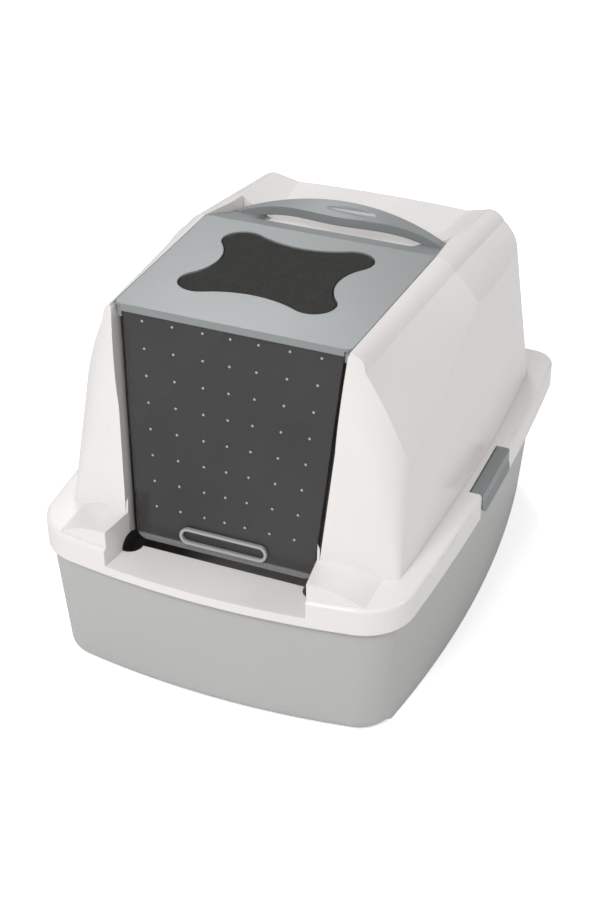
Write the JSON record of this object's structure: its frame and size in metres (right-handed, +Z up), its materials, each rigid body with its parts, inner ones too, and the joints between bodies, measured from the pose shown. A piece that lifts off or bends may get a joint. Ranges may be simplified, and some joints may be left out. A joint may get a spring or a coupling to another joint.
{
  "type": "covered litter box",
  "caption": "Covered litter box: a deep pan under a lift-off hood with a see-through swing door, a hinged roof lid with a carry handle, an odour filter and side latches.",
  "frame": {"origin": "on the floor, under the middle of the box", "axes": "+X to the right seen from the entrance, +Y towards the rear, +Z up; the entrance faces -Y"},
  "size_m": [0.436, 0.57, 0.4131],
  "materials": {
    "pan_gray": "smooth",
    "shell_white": "glossy",
    "lid_gray": "satin",
    "filter_black": "matte foam",
    "door_smoke": "smoked clear plastic",
    "pin_gray": "satin"
  },
  "bodies": {
    "pan_body": {"pan": "pan_gray"},
    "hood_body": {"hood_shell": "shell_white", "lid_hinge_pin_left": "pin_gray", "lid_hinge_pin_right": "pin_gray", "latch_pin_left": "pin_gray", "latch_pin_right": "pin_gray"},
    "lid_body": {"roof_lid": "lid_gray"},
    "filter_body": {"filter_pad": "filter_black"},
    "door_body": {"door_flap": "door_smoke", "door_pin_left": "pin_gray", "door_pin_right": "pin_gray"},
    "latch_left_body": {"side_latch_left": "lid_gray"},
    "latch_right_body": {"side_latch_right": "lid_gray"}
  },
  "joints": [
    {"name": "hood_lift", "type": "slide", "parent": "pan_body", "child": "hood_body", "axis": [0, 0, 1], "range_m": [0, 0.2]},
    {"name": "lid_open", "type": "hinge", "parent": "hood_body", "child": "lid_body", "pos_m": [0, 0.104, 0.376], "axis": [-1, 0, 0], "range_deg": [0, 80]},
    {"name": "door_swing", "type": "hinge", "parent": "lid_body", "child": "door_body", "pos_m": [0, -0.193, 0.404], "axis": [1, 0, 0], "range_deg": [-40, 80]},
    {"name": "filter_lift", "type": "slide", "parent": "lid_body", "child": "filter_body", "axis": [0, 0, 1], "range_m": [0, 0.04]},
    {"name": "latch_left_open", "type": "hinge", "parent": "hood_body", "child": "latch_left_body", "pos_m": [-0.203, 0.01, 0.1671], "axis": [0, 1, 0], "range_deg": [0, 80]},
    {"name": "latch_right_open", "type": "hinge", "parent": "hood_body", "child": "latch_right_body", "pos_m": [0.203, 0.01, 0.1671], "axis": [0, -1, 0], "range_deg": [0, 80]}
  ]
}
